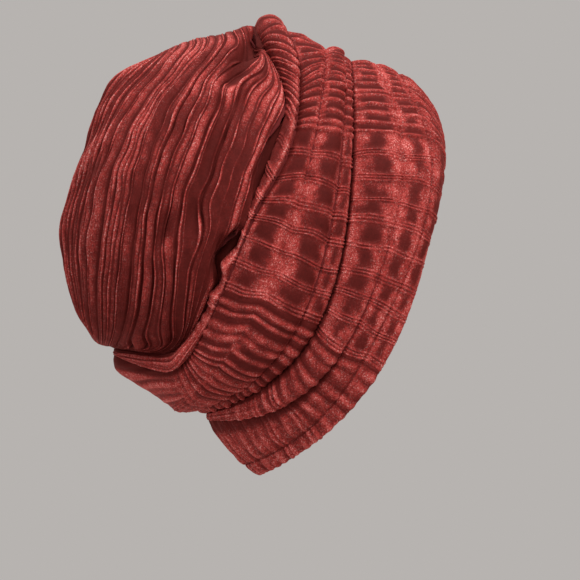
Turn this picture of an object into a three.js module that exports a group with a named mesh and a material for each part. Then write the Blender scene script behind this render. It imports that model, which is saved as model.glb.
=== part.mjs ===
// Slouchy beanie of pleated velvet: a front band with a turned hem, a folded rear band and a slack crown.
// Millimetres, +Z up, the face side along +X. The origin is midway between the rim's brow and its nape.
import * as THREE from "three";

// Cloth
const WALL = 1.6; // one layer of pleated velvet
const HEM_WALL = 2.6; // turned hem, two layers pressed flat
const SEAM_GAP = 0.5; // clear space between the two allowances of a seam
const SEAM_ALLOWANCE = 5; // cloth turned in at a seam
const PLEATS = 28; // pleat groups round each band
const PLEAT_RISE = 1.3; // ridge height above the panel between ridges
const CROWN_RIBS = 10; // hoop ribs from the crown's mouth to its back seam
const CROWN_RIB_RISE = 1.4;
const BACK_SEAM_HALF = 0.5; // inner half width left between the two layers at the back seam
const ROLL_ROUNDNESS = 0.5; // 0 is a plain wave, 1 a half ellipse with upright sides
const VELVET = 0x77302b;

// Fold lines. Each is a loop round the hat. The first five columns say where it passes in the side view,
// as [x, z]: over the brow, at the temple, over the ear, behind the ear and at the nape.
// The last is its half width in Y.
const STATIONS = ["brow", "temple", "ear", "behind", "nape"];
const FOLD_COLUMNS = [...STATIONS, "half_width"];
const FOLD_TABLE = {
  rim_edge: [[51, 90], [46.5, 57.5], [24, -14], [-23, -71.5], [-51.5, -90], 74],
  hem_groove: [[25, 134.5], [43, 90.5], [23.5, 8.5], [-24.5, -62.5], [-60.5, -85.5], 76],
  front_groove: [[12, 140], [26, 98], [13, 19.5], [-34.5, -47.5], [-78.5, -62], 78.5],
  front_seam: [[-2, 140], [-1, 108], [-7.5, 29], [-45.5, -37], [-82, -55.5], 77],
  low_crease: [[-7, 144], [-7, 111], [-18, 33], [-55.5, -33.5], [-88, -53.5], 79],
  rear_groove: [[-16, 147.5], [-19, 115], [-38, 39], [-75, -28.5], [-102, -51], 83],
  lip_crease: [[-43, 157.5], [-32, 124], [-51.5, 62], [-84.5, -15], [-130.5, -33], 81],
  crown_seam: [[-56, 151], [-42, 121.5], [-57, 60.5], [-89, -8.5], [-123, -10], 75],
  crown_mouth: [[-61, 160], [-48.5, 130.5], [-65, 63.5], [-92, -4], [-131, -9.5], 81],
  crown_front: [[-67, 159], [-68, 130.5], [-89, 66], [-110.5, 0], [-135.5, -15], 82],
  crown_middle: [[-78, 157], [-90.5, 130.5], [-116, 69], [-129.5, 5.5], [-139, -17], 73],
  crown_back: [[-108.5, 146], [-122.5, 119.5], [-142, 63.5], [-146.5, 5.5], [-144, -15.5], 48],
  back_seam: [[-138.5, 128], [-146, 109], [-162.5, 59], [-161.5, 15.5], [-151, -7.5], 2.2],
};
const FOLDS = {};
for (const [name, row] of Object.entries(FOLD_TABLE)) {
  FOLDS[name] = Object.fromEntries(row.map((value, i) => [FOLD_COLUMNS[i], value]));
}

// Rolls of cloth between two fold lines. The heights stand out from the fold lines over the brow,
// over the ear and at the nape. lean pushes a roll towards its first line, as a share of its height.
const FRONT_ROLLS = [
  { from: "rim_edge", to: "hem_groove", brow: 8, ear: 1.4, nape: 1.4, lean: 0, steps: 3 },
  { from: "hem_groove", to: "front_groove", brow: 1.5, ear: 2.2, nape: 3, lean: 0, steps: 3 },
  { from: "front_groove", to: "front_seam", brow: 2, ear: 4.5, nape: 2, lean: 0, steps: 4 },
];
const REAR_ROLLS = [
  { from: "front_seam", to: "low_crease", brow: 0.8, ear: 3.5, nape: 0.8, lean: 0, steps: 3 },
  { from: "low_crease", to: "rear_groove", brow: 6, ear: 5, nape: 3, lean: 0.25, steps: 4 },
  { from: "rear_groove", to: "lip_crease", brow: 3, ear: 4.5, nape: 1.5, lean: 0.1, steps: 4 },
  { from: "lip_crease", to: "crown_seam", brow: 12, ear: 7, nape: 7, lean: 0.35, steps: 5 },
];

// Dents in the crown, placed by the angle round it from the brow and the share of the way to the back seam.
const CROWN_DENTS = [
  { name: "tuck_beside_lip", angle: 112, share: 0.19, angle_spread: 10, share_spread: 0.06, depth: 4 },
  { name: "buckle_near_top", angle: 42, share: 0.3, angle_spread: 14, share_spread: 0.08, depth: 4 },
  { name: "slack_side_panel", angle: 76, share: 0.28, angle_spread: 26, share_spread: 0.07, depth: 3 },
];
// Seams, each on its fold line and lying between two others.
const FRONT_SEAM = { line: "front_seam", before: "front_groove", after: "low_crease" };
const CROWN_SEAM = { line: "crown_seam", before: "lip_crease", after: "crown_mouth" };

// Lines that the crown's surface passes through, from its mouth to the back.
const CROWN_LINES = ["crown_seam", "crown_mouth", "crown_front", "crown_middle", "crown_back", "back_seam"];

// A smooth even curve round the loop through values at equal steps from 0 to 180 degrees.
function alongLoop(values, angle) {
  const last = values.length - 1;
  let sum = 0;
  for (let k = 0; k <= last; k += 1) {
    let term = 0;
    values.forEach((value, j) => {
      const share = j === 0 || j === last ? 0.5 : 1;
      term += share * value * Math.cos((j * k * Math.PI) / last);
    });
    const share = k === 0 || k === last ? 0.5 : 1;
    sum += ((share * 2 * term) / last) * Math.cos(k * angle);
  }
  return sum;
}

function loopPoint(name, angle) {
  const fold = FOLDS[name];
  const x = alongLoop(STATIONS.map((station) => fold[station][0]), angle);
  const z = alongLoop(STATIONS.map((station) => fold[station][1]), angle);
  return new THREE.Vector3(x, -fold.half_width * Math.sin(angle), z);
}

function loopTangent(name, angle) {
  const step = 0.01;
  return loopPoint(name, angle + step).sub(loopPoint(name, angle - step)).normalize();
}

// Outward direction of the cloth at a fold line, from the lines before and after it.
function outward(name, before, after, angle) {
  const across = loopPoint(after, angle).sub(loopPoint(before, angle));
  return new THREE.Vector3().crossVectors(across, loopTangent(name, angle)).normalize();
}

// One point of a roll, at a share of the way over it.
function rollPoint(rolls, index, share, angle) {
  const roll = rolls[index];
  const before = index > 0 ? rolls[index - 1].from : roll.from;
  const after = index < rolls.length - 1 ? rolls[index + 1].to : roll.to;
  const first = loopPoint(roll.from, angle);
  const second = loopPoint(roll.to, angle);
  const rounded = (1 - Math.cos(Math.PI * share)) / 2;
  const across = THREE.MathUtils.lerp(share, rounded, ROLL_ROUNDNESS);
  const normal = outward(roll.from, before, roll.to, angle);
  normal.lerp(outward(roll.to, roll.from, after, angle), across).normalize();
  const height = alongLoop([roll.brow, roll.ear, roll.nape], angle) * Math.sin(Math.PI * share);
  const forward = first.clone().sub(second).normalize();
  const point = first.clone().lerp(second, across);
  return point.addScaledVector(normal, height).addScaledVector(forward, height * roll.lean);
}

// Two rows of points at a seam, the fold of the allowance and then its edge.
// side is -1 for the piece in front of the seam and 1 for the piece behind it.
function seamRows(seam, side, angles) {
  return [0, SEAM_ALLOWANCE].map((depth) => seamRow(seam, (side * SEAM_GAP) / 2, depth, angles));
}

// A row of points round a seam line, moved along the cloth and turned in by a depth.
function seamRow(seam, shift, depth, angles) {
  const { line, before, after } = seam;
  return angles.map((angle) => {
    const normal = outward(line, before, after, angle);
    const along = new THREE.Vector3().crossVectors(loopTangent(line, angle), normal).normalize();
    return loopPoint(line, angle).addScaledVector(along, shift).addScaledVector(normal, -depth);
  });
}

function loopAngles(count) {
  return Array.from({ length: count }, (_, i) => (i * 2 * Math.PI) / count);
}

// Vertex normals of a grid of rows, each row a closed loop.
function gridNormals(rows) {
  const count = rows[0].length;
  return rows.map((row, r) => row.map((_, i) => {
    const next = row[(i + 1) % count];
    const last = row[(i + count - 1) % count];
    const round = next.clone().sub(last);
    const above = rows[Math.min(r + 1, rows.length - 1)][i];
    const below = rows[Math.max(r - 1, 0)][i];
    const normal = new THREE.Vector3().crossVectors(above.clone().sub(below), round);
    return normal.normalize();
  }));
}

// Lifts every other point of the rows to make ridges that run across the band, from one row to another.
function pleatBand(rows, firstRow, lastRow) {
  const normals = gridNormals(rows);
  rows.forEach((row, r) => {
    if (r < firstRow || r > lastRow) return;
    row.forEach((point, i) => {
      if (i % 2 === 1) point.addScaledVector(normals[r][i], PLEAT_RISE);
    });
  });
  return rows;
}

function makeMesh(name, positions, faces) {
  const geometry = new THREE.BufferGeometry();
  const numbers = positions.flatMap((p) => [p.x, p.y, p.z]);
  geometry.setAttribute("position", new THREE.Float32BufferAttribute(numbers, 3));
  geometry.setIndex(faces.flat());
  geometry.computeVertexNormals();
  const mesh = new THREE.Mesh(geometry, new THREE.MeshStandardMaterial({ color: VELVET, roughness: 0.85 }));
  mesh.name = name;
  return mesh;
}

// Two triangles for each cell between neighbouring rows.
function stripFaces(rowCount, count, first, flip) {
  const faces = [];
  for (let r = 0; r < rowCount - 1; r += 1) {
    for (let i = 0; i < count; i += 1) {
      const j = (i + 1) % count;
      const a = first + r * count + i;
      const b = first + r * count + j;
      const c = first + (r + 1) * count + j;
      const d = first + (r + 1) * count + i;
      if (flip) faces.push([a, b, c], [a, c, d]);
      else faces.push([a, c, b], [a, d, c]);
    }
  }
  return faces;
}

// A closing strip between two loops of the same count.
function edgeFaces(outer, inner, count, flip) {
  const faces = [];
  for (let i = 0; i < count; i += 1) {
    const j = (i + 1) % count;
    if (flip) faces.push([outer + i, inner + j, outer + j], [outer + i, inner + i, inner + j]);
    else faces.push([outer + i, outer + j, inner + j], [outer + i, inner + j, inner + i]);
  }
  return faces;
}

// A closed wall of cloth: the outer rows, the inner rows one thickness inside, and a strip at each end.
function bandWall(name, rows, thickness) {
  const count = rows[0].length;
  const normals = gridNormals(rows);
  const inner = rows.map((row, r) => row.map((p, i) => {
    return p.clone().addScaledVector(normals[r][i], -thickness[r]);
  }));
  const inside = rows.length * count;
  const lastRow = (rows.length - 1) * count;
  const faces = [
    ...stripFaces(rows.length, count, 0, false),
    ...stripFaces(rows.length, count, inside, true),
    ...edgeFaces(0, inside, count, false),
    ...edgeFaces(lastRow, inside + lastRow, count, true),
  ];
  return makeMesh(name, [...rows.flat(), ...inner.flat()], faces);
}

function rollRows(rolls, angles) {
  const rows = [];
  rolls.forEach((roll, index) => {
    for (let step = index === 0 ? 0 : 1; step <= roll.steps; step += 1) {
      rows.push(angles.map((angle) => rollPoint(rolls, index, step / roll.steps, angle)));
    }
  });
  return rows;
}

function frontBand() {
  const angles = loopAngles(PLEATS * 2);
  const rows = rollRows(FRONT_ROLLS, angles).slice(0, -1);
  const lastPleat = rows.length - 1;
  rows.push(...seamRows(FRONT_SEAM, -1, angles));
  pleatBand(rows, 1, lastPleat);
  const hemRows = FRONT_ROLLS[0].steps;
  return bandWall("front_band", rows, rows.map((_, r) => (r < hemRows ? HEM_WALL : WALL)));
}

function rearBand() {
  const angles = loopAngles(PLEATS * 2);
  const rolls = rollRows(REAR_ROLLS, angles).slice(1, -1);
  const front = seamRows(FRONT_SEAM, 1, angles).reverse();
  const rows = [...front, ...rolls, ...seamRows(CROWN_SEAM, -1, angles)];
  const lastPleat = front.length + rolls.length - 2;
  pleatBand(rows, front.length, lastPleat);
  return bandWall("rear_band", rows, rows.map(() => WALL));
}

// Smooth crown surface through its lines, at a share of the way from the mouth to the back seam.
function crownPoint(share, angle) {
  const points = CROWN_LINES.map((line) => loopPoint(line, angle));
  return new THREE.CatmullRomCurve3(points, false, "centripetal").getPoint(share);
}

function dentDepth(share, angle) {
  const bell = (offset, spread) => Math.exp(-((offset / spread) ** 2));
  return CROWN_DENTS.reduce((sum, dent) => {
    const turn = THREE.MathUtils.radToDeg(angle) - dent.angle;
    return sum + dent.depth * bell(turn, dent.angle_spread) * bell(share - dent.share, dent.share_spread);
  }, 0);
}

function crown() {
  const angles = loopAngles(PLEATS * 2);
  const count = angles.length;
  const rows = seamRows(CROWN_SEAM, 1, angles).reverse();
  const steps = CROWN_RIBS * 2;
  for (let step = 1; step <= steps; step += 1) {
    rows.push(angles.map((angle) => crownPoint(step / steps, angle)));
  }
  const lift = gridNormals(rows);
  rows.forEach((row, r) => {
    if (r < 2 || r > rows.length - 2) return;
    const rise = r % 2 === 0 ? CROWN_RIB_RISE : 0;
    row.forEach((point, i) => {
      point.addScaledVector(lift[r][i], rise - dentDepth((r - 1) / steps, angles[i]));
    });
  });
  const normals = gridNormals(rows);
  const inner = rows.map((row, r) => row.map((p, i) => {
    const q = p.clone().addScaledVector(normals[r][i], -WALL);
    const onMiddle = i % (count / 2) === 0;
    const side = Math.sign(p.y);
    if (!onMiddle && q.y * side < BACK_SEAM_HALF) q.y = side * BACK_SEAM_HALF;
    return q;
  }));
  const inside = rows.length * count;
  const lastRow = (rows.length - 1) * count;
  const faces = [
    ...stripFaces(rows.length, count, 0, false),
    ...stripFaces(rows.length, count, inside, true),
    ...edgeFaces(0, inside, count, false),
    ...backFaces(lastRow, count, true),
    ...backFaces(inside + lastRow, count, false),
  ];
  return makeMesh("crown", [...rows.flat(), ...inner.flat()], faces);
}

// Closes the last loop of the crown across the back seam, near side to far side.
function backFaces(first, count, flip) {
  const faces = [];
  for (let i = 0; i < count / 2; i += 1) {
    const a = first + i;
    const b = first + i + 1;
    const c = first + ((count - i - 1) % count);
    const d = first + ((count - i) % count);
    const quad = [];
    if (i < count / 2 - 1) quad.push([a, b, c]);
    if (i > 0) quad.push([a, c, d]);
    quad.forEach((face) => faces.push(flip ? [face[0], face[2], face[1]] : face));
  }
  return faces;
}

const hat = new THREE.Group();
hat.name = "slouchy_beanie";
hat.add(frontBand(), rearBand(), crown());

export default hat;
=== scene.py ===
# %% [markdown]
# # A slouchy beanie of pleated velvet
# The hat is three pieces of one cloth: a front band with a turned hem, a rear band that lies in rolls and
# ends in a plump lip, and a slack crown that closes at a seam down the back.
# The imported model gives the frame and the size. Each piece is dressed here with the pleats and creases
# that the plain model leaves out, and with painted sheen and shade, and then stands for its plain piece.

import bpy
import numpy as np
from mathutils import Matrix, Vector


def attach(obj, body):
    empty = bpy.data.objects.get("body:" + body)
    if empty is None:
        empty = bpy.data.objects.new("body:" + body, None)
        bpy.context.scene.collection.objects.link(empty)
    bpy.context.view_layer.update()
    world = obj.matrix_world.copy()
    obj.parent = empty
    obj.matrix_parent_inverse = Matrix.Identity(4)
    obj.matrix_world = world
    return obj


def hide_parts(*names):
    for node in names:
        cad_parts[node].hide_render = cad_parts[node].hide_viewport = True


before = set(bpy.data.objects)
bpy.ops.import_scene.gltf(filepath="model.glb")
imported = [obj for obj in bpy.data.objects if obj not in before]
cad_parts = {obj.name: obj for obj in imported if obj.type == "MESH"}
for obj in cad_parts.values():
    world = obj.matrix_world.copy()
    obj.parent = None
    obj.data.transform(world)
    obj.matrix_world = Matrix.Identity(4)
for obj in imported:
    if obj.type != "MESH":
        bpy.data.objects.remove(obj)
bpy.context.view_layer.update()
print("frame pieces:", sorted(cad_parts))

# %% [markdown]
# ## Fold lines
# Cloth on a head lies in rolls, and the lines between the rolls are what give the hat its form. Each fold
# line is a loop round the hat. It could be drawn as a curve by hand, but five places in the side view and a
# half width are enough: over the brow, at the temple, over the ear, behind it and at the nape. The lines
# that bend more have nine places, and a line whose width changes on the way has a row of half widths. They
# follow the plain model's lines, in millimetres, and are moved a little where a fold shows its place better,
# so the dressed hat keeps its size.

# %% Fold lines
MM = 0.001
LOOP_SAMPLES = 1441
FOLD_LINES = {
    "rim_edge": ((50.6, 90.6), (45.8, 57), (23.7, -13.6), (-22.5, -71.5), (-53, -90.8), 74),
    "hem_groove": ((24.5, 133.6), (42, 90), (22.8, 8.5), (-23.5, -63), (-60.5, -84.6), 76),
    "front_groove": ((12, 139), (26, 97.7), (13, 19.5), (-34.5, -47.5), (-80.8, -58.8), 78.5),
    "front_seam": ((-2, 139.5), (-1, 108), (-7.5, 29), (-45.5, -37), (-82, -55.5), 73),
    "low_crease": ((-7, 143.2), (-7, 111), (-18, 33), (-55.5, -33.5), (-88, -53.5), 75),
    "rear_groove": ((-16, 146.5), (-19, 115), (-38, 39), (-77, -32), (-101, -54), (83, 83, 83, 90, 83)),
    "lip_crease": ((-40, 157.3), (-33.5, 143), (-31, 116), (-37.5, 87), (-52, 61), (-67.5, 24),
                   (-89, -20.5), (-112.3, -27), (-133.2, -21.6), 76),
    "crown_seam": ((-55.7, 160.5), (-47.5, 142), (-39, 115), (-46.5, 88), (-55, 59.5), (-70.5, 25),
                   (-90.5, -13), (-113.2, -22.7), (-134.2, -19.9), (74, 74, 71, 68, 68)),
    "crown_mouth": ((-60, 161), (-47, 142.5), (-37.8, 114.5), (-50.5, 87), (-57.5, 59.5), (-75, 24),
                    (-95, -7.5), (-115.5, -19.5), (-136, -19.1), 78),
    "crown_front": ((-74, 156.5), (-68, 130.5), (-89, 66), (-113, -4.5), (-139, -18.7), 82),
    "crown_middle": ((-88, 154), (-90.5, 130.5), (-116, 69), (-130, 2), (-142.2, -17.8), 73),
    "crown_back": ((-102, 149), (-121, 120.5), (-142, 63.5), (-147, 5), (-145.5, -15.5), 48),
    "back_seam": ((-114, 143), (-126.3, 137.2), (-139.3, 126.5), (-149.2, 100), (-161.2, 62.5), (-164.8, 38),
                  (-159.8, 13.5), (-154.3, -2), (-149, -10.5), 2.2),
}


def along_loop(values, angle):
    """A smooth even curve round the loop through values at equal steps from 0 to 180 degrees."""
    last = len(values) - 1
    steps = np.arange(last + 1)
    ends = np.where((steps == 0) | (steps == last), 0.5, 1.0)
    waves = np.cos(np.outer(steps, steps) * np.pi / last)
    amounts = ends * (waves @ (ends * np.asarray(values, float))) * 2 / last
    return sum(amount * np.cos(k * angle) for k, amount in enumerate(amounts))


def loop_point(name, angle):
    """Points of a fold line in metres, at angles round the hat from the brow."""
    *places, half_width = FOLD_LINES[name]
    x = along_loop([place[0] for place in places], angle)
    z = along_loop([place[1] for place in places], angle)
    width = along_loop(half_width, angle) if isinstance(half_width, tuple) else half_width
    return np.stack([x, -width * np.sin(angle), z], axis=-1) * MM


def unit(vectors):
    return vectors / np.maximum(np.linalg.norm(vectors, axis=-1, keepdims=True), 1e-12)


def loop_tangent(name, angle, step=0.01):
    return unit(loop_point(name, angle + step) - loop_point(name, angle - step))


rim = loop_point("rim_edge", np.linspace(0, 2 * np.pi, LOOP_SAMPLES))
rim_length = np.linalg.norm(np.diff(rim, axis=0), axis=1).sum()
print(f"{len(FOLD_LINES)} fold lines; the rim is {rim_length * 1000:.0f} mm round")

# %% [markdown]
# ## Which way the pleats run
# Pleats cross each band nearly square to its folds. A point on one fold line therefore belongs with the
# nearest point on the next, turned by a few degrees of skew where the real pleats lean. The turn between the
# two is fitted with a few sine waves, so the pleats stay smooth and the two sides of the hat stay alike.
# Beside the knot on top, the pleats are also drawn together into a gather.

# %% Lead the pleats from line to line
TURN_WAVES = 6
PLEAT_SKEW = {"lip_crease": (3, 3), "low_crease": (0, 0, 1.5, -1.5, -3), "crown_seam": (-10, -8, -4, 0, 0)}
GATHER = {"line": "crown_seam", "turn": 13, "width": 18, "pull": 0.75, "ramp": 8}
HALF_LOOP = np.linspace(0, np.pi, 181)
SEARCH_MARGIN = 0.8
SEARCH_STEPS = 1600


def turn_between(first, second):
    """Sine amounts of the turn that leads from one fold line to the nearest points of another."""
    search = np.linspace(-SEARCH_MARGIN, np.pi + SEARCH_MARGIN, SEARCH_STEPS)
    gaps = loop_point(first, HALF_LOOP)[:, None] - loop_point(second, search)[None]
    nearest = search[np.argmin((gaps ** 2).sum(axis=-1), axis=1)]
    skew = np.radians(along_loop(PLEAT_SKEW.get(second, (0, 0)), HALF_LOOP)) * np.sin(HALF_LOOP)
    waves = np.sin(np.outer(HALF_LOOP, np.arange(1, TURN_WAVES + 1)))
    return np.linalg.lstsq(waves, nearest + skew - HALF_LOOP, rcond=None)[0]


def led_angle(angle, turn):
    return angle + sum(amount * np.sin((k + 1) * angle) for k, amount in enumerate(turn))


def lead(reference, forward, backward):
    """For each line of a band, the turns that lead to it from the band's reference line."""
    chains = {reference: []}
    for order in (forward, backward):
        last = reference
        for name in order:
            chains[name] = chains[last] + [turn_between(last, name)]
            last = name
    return chains


def angles_on(chains, name, angle):
    for turn in chains[name]:
        angle = led_angle(angle, turn)
    return pulled_in(angle) if name == GATHER["line"] else angle


def pulled_in(angle):
    """Angles drawn towards the gather beside the knot on the lip's seam, alike on both sides of the hat."""
    turned = np.degrees(np.arctan2(np.sin(angle), np.cos(angle)))
    off = abs(turned) - GATHER["turn"]
    begin = np.clip(abs(turned) / GATHER["ramp"], 0, 1)
    pull = off * GATHER["pull"] * np.exp(-(off / GATHER["width"]) ** 2) * begin
    return angle - np.radians(np.sign(turned) * pull)


FRONT_CHAINS = lead("front_groove", ["hem_groove", "rim_edge"], ["front_seam"])
REAR_CHAINS = lead("rear_groove", ["low_crease", "front_seam"], ["lip_crease", "crown_seam"])
for name in ("rim_edge", "front_seam"):
    slip = np.degrees(angles_on(FRONT_CHAINS, name, HALF_LOOP) - HALF_LOOP)
    print(f"pleats turn by {slip.min():.0f} to {slip.max():.0f} degrees on the way to {name}")

# %% [markdown]
# ## Rolls of cloth
# Between two fold lines the cloth stands up in a roll. A roll is an arch: the straight way from line to
# line, lifted along the outward direction. Subdivided boxes could be bent to this, but an arch keeps to its
# two lines. The values of a roll run from the brow to the nape. Heights say how far it stands out, and lean
# tips it over its first line, as a heavy fold hangs. Peak moves the top of the arch, and soft_start and
# soft_end let an edge run out flat. A swell is a small bud of cloth. The other words are for painted light:
# shadow and first_shade set the painted shade in the creases, narrow makes the painted dark crest narrower,
# panel_shade paints shade on the panels, edge_light paints a highlight on a rolled edge, and a twisted roll
# has its pleats running along it.

# %% Rolls
ROUNDNESS = 0.75
PLUMPNESS = 0.75
FRONT_ROLLS = [
    {"from": "rim_edge", "to": "hem_groove", "heights": (8, 1.4, 1.4), "lean": (0, 0), "steps": 14,
     "soft_start": (1, 1)},
    {"from": "hem_groove", "to": "front_groove", "heights": (1.5, 2.4, 2.7), "lean": (0, 0), "steps": 18,
     "narrow": (0.2, 0.2, 0.05, -0.1, 0), "shadow": (0.16, 0.16, 0.22, 0.42, 0.42)},
    {"from": "front_groove", "to": "front_seam", "heights": (2, 4, 6, 7.5, 1.5),
     "lean": (0, 0, 0.1, 0.7, 0.7), "steps": 24, "twisted": (128, 165), "twist": 0.55,
     "narrow": (0.15, 0.15, 0.05, 0, 0)},
]
REAR_ROLLS = [
    {"from": "front_seam", "to": "low_crease", "heights": (1.5, 3, 5, 4, 1.5), "lean": (0, 0), "steps": 8},
    {"from": "low_crease", "to": "rear_groove", "heights": (4.5, 6, 8, 6, 2),
     "lean": (0.35, 0.4, 0.5, 0.8, 0.4), "steps": 18, "twisted": (138, 168), "twist": 0.6,
     "soft_end": (0, 0.6, 1, 0.2, 0), "narrow": (0, -0.1, -0.18, -0.1, 0)},
    {"from": "rear_groove", "to": "lip_crease", "heights": (2.4, 4, 4.5, 5, 6, 5, 3.5, 4.7, 7.2),
     "lean": (0, 0, 0, 0, 0.3), "steps": 36, "peak": (1, 0.8, 0.7, 0.75, 0.9, 1, 1.3, 1.9, 2.8),
     "twisted": (146, 168), "shadow": (0.2, 0.28, 0.4, 0.36, 0.16, 0.14, 0.28, 0.36, 0.2),
     "soft_start": (0, 0.6, 1, 0.2, 0), "narrow": (0, -0.08, -0.14, -0.05, 0)},
    {"from": "lip_crease", "to": "crown_seam", "heights": (8, 7.5, 7, 7, 4, 2.5, 6, 7.2, 2),
     "lean": (0, 0.45, 0.47, 0.47, 0.4, 0.4, 0.65, 0.85, 0.8), "steps": 22,
     "swells": ({"turn": 102, "width": 2.5, "height": 6, "tip": 1},
                {"turn": 110.5, "width": 2.2, "height": 3.5, "tip": 0}),
     "twisted": (112, 128), "panel_shade": (0.6, 0.55, 0.4, 0.15, 0.0, 0.0),
     "shadow": (0.3, 0.3, 0.45, 0.55, 0.5, 0.4, 0.3, 0.25, 0.2),
     "edge_light": (0.1, 0.15, 0.3, 0.4, 0.4, 0.25, 0.1, 0.1, 0.1),
     "first_shade": (0.5, 0.3, 0.1, 0.1, 0.2, 0.5, 1.0, 1.0, 1.0)},
]


def turn_from_brow(angle):
    """Degrees from the brow, the same on both sides of the hat."""
    return np.degrees(np.arccos(np.cos(angle)))


def outward(chains, name, before, after, angle):
    across = loop_point(after, angles_on(chains, after, angle))
    across = across - loop_point(before, angles_on(chains, before, angle))
    return unit(np.cross(across, loop_tangent(name, angles_on(chains, name, angle))))


def roll_row(rolls, chains, index, share, angle):
    """One row of points round a roll, at a share of the way over it."""
    roll = rolls[index]
    before = rolls[index - 1]["from"] if index > 0 else roll["from"]
    after = rolls[index + 1]["to"] if index < len(rolls) - 1 else roll["to"]
    first = loop_point(roll["from"], angles_on(chains, roll["from"], angle))
    second = loop_point(roll["to"], angles_on(chains, roll["to"], angle))
    rounded = (1 - np.cos(np.pi * share)) / 2
    across = share + (rounded - share) * ROUNDNESS
    start = outward(chains, roll["from"], before, roll["to"], angle)
    end = outward(chains, roll["to"], roll["from"], after, angle)
    normal = unit(start + (end - start) * across)
    height = along_loop(roll["heights"], angle)
    lean = height * along_loop(roll["lean"], angle)
    for swell in roll.get("swells", ()):
        near = np.exp(-((turn_from_brow(angle) - swell["turn"]) / swell["width"]) ** 2)
        height = height + swell["height"] * near
        lean = lean + swell["tip"] * near
    peaked = share ** along_loop(roll.get("peak", (1, 1)), angle)
    soft = along_loop(roll.get("soft_start", (0, 0)), angle) * (1 - share)
    soft = soft + along_loop(roll.get("soft_end", (0, 0)), angle) * share
    arch = np.clip(np.sin(np.pi * peaked), 0, 1) ** (PLUMPNESS + soft) * MM
    forward = unit(first - second)
    lifted = normal * (arch * height)[..., None] + forward * (arch * lean)[..., None]
    return first + (second - first) * across + lifted


print(f"rolls: {len(FRONT_ROLLS)} on the front band, {len(REAR_ROLLS)} on the rear band")

# %% [markdown]
# ## Pleats round a band
# The cloth is permanently pleated: flat panels up to a finger wide, parted by one to three thin sharp
# ridges. A texture could draw them, but they have to catch the light on the edge of the hat too, so they
# are shape. The mesh has columns only where a ridge or a panel needs them, which keeps it small.

# %% Pleat columns
PLEAT_STYLES = (
    {"name": "crowded over the brow", "panel": 2.9, "ridges": (1, 1, 1, 2), "pitch": 3.3, "height": 1.15,
     "ridge_highlight": 0.8, "crest": (0.62, 1.05), "panel_spread": (0.8, 1.25), "pitch_spread": (0.8, 1.25)},
    {"name": "open at the side", "panel": 9.4, "ridges": (2, 3, 3), "pitch": 1.8, "height": 0.65,
     "ridge_highlight": 0.55, "crest": (0.14, 0.88), "panel_spread": (0.8, 1.25), "pitch_spread": (0.88, 1.12)},
    {"name": "ladder towards the nape", "panel": 2.4, "ridges": (1, 1, 2), "pitch": 4.6, "height": 1.2,
     "ridge_highlight": 0.8, "crest": (0.85, 1.3), "panel_spread": (0.5, 1.8), "pitch_spread": (0.65, 1.6)},
)
PANEL_STEPS = 7
RIDGE_SPREAD = (0.7, 1.15)
RIDGE_PROFILE = ((0.0, 0.0), (0.2, 0.45), (0.4, 0.95), (0.6, 0.95), (0.8, 0.45))
RIPPLE_WAVES = 7
RIPPLE_SPREAD = (0.8, 1.7)


def loop_length_table(name):
    angle = np.linspace(0, 2 * np.pi, LOOP_SAMPLES)
    steps = np.linalg.norm(np.diff(loop_point(name, angle), axis=0), axis=1)
    return angle, np.concatenate([[0], np.cumsum(steps)])


def pleat_columns(name, style_ends, seed):
    """Places round a fold line, with the ridge height, the panel's puff and a chance number at each."""
    chance = np.random.default_rng(seed)
    table_angle, table_length = loop_length_table(name)
    length = table_length[-1]
    columns = []
    start = 0.0
    while start < length:
        turn = np.degrees(np.interp(start, table_length, table_angle))
        turn = min(turn, 360 - turn)
        style = PLEAT_STYLES[np.searchsorted(style_ends, turn)]
        panel = style["panel"] * chance.uniform(*style["panel_spread"]) * MM
        pitch = style["pitch"] * chance.uniform(*style["pitch_spread"]) * MM
        tone = chance.uniform()
        for step in range(PANEL_STEPS):
            share = step / PANEL_STEPS
            columns.append((start + panel * share, 0.0, 0.0, np.sin(np.pi * share), tone, *style["crest"]))
        start += panel
        for _ in range(int(chance.choice(style["ridges"]))):
            height = style["height"] * chance.uniform(*RIDGE_SPREAD)
            for share, rise in RIDGE_PROFILE:
                columns.append((start + pitch * share, rise * height, rise * style["ridge_highlight"], 0.0, tone,
                                *style["crest"]))
            start += pitch
    place, ridge, ridge_highlight, puff, draw, low, high = np.array(columns).T
    angle = np.interp(place * length / start, table_length, table_angle)
    return {"angle": angle, "ridge": ridge, "ridge_highlight": ridge_highlight, "puff": puff, "draw": draw, "low": low,
            "high": high, "length": length}


def ripple(points, size, seed):
    """A smooth chance field of about -1 to 1 over points in space, with bumps of that size."""
    chance = np.random.default_rng(seed)
    total = np.zeros(points.shape[:-1])
    for _ in range(RIPPLE_WAVES):
        heading = unit(chance.normal(size=3))
        pace = 2 * np.pi / (size * chance.uniform(*RIPPLE_SPREAD))
        total += np.sin(points @ heading * pace + chance.uniform(0, 2 * np.pi))
    return total / np.sqrt(RIPPLE_WAVES)


print("pleats:", ", ".join(style["name"] for style in PLEAT_STYLES))

# %% [markdown]
# ## Walls of cloth
# Each piece is a closed wall: the outer face with all its pleats, a plainer inner face one thickness
# inside, and a strip that joins them along each edge. Solidify could add the inner face, but it would
# double every pleat where nobody sees them. Here the inner face takes one column in four and one row in
# three.

# %% Build a closed wall
INNER_COLUMN_STEP = 4
INNER_ROW_STEP = 3


def grid_normals(rows):
    """Outward normals of rows of points, each row a closed loop."""
    round_hat = np.roll(rows, -1, axis=1) - np.roll(rows, 1, axis=1)
    across = np.gradient(rows, axis=0)
    return unit(np.cross(across, round_hat))


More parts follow.
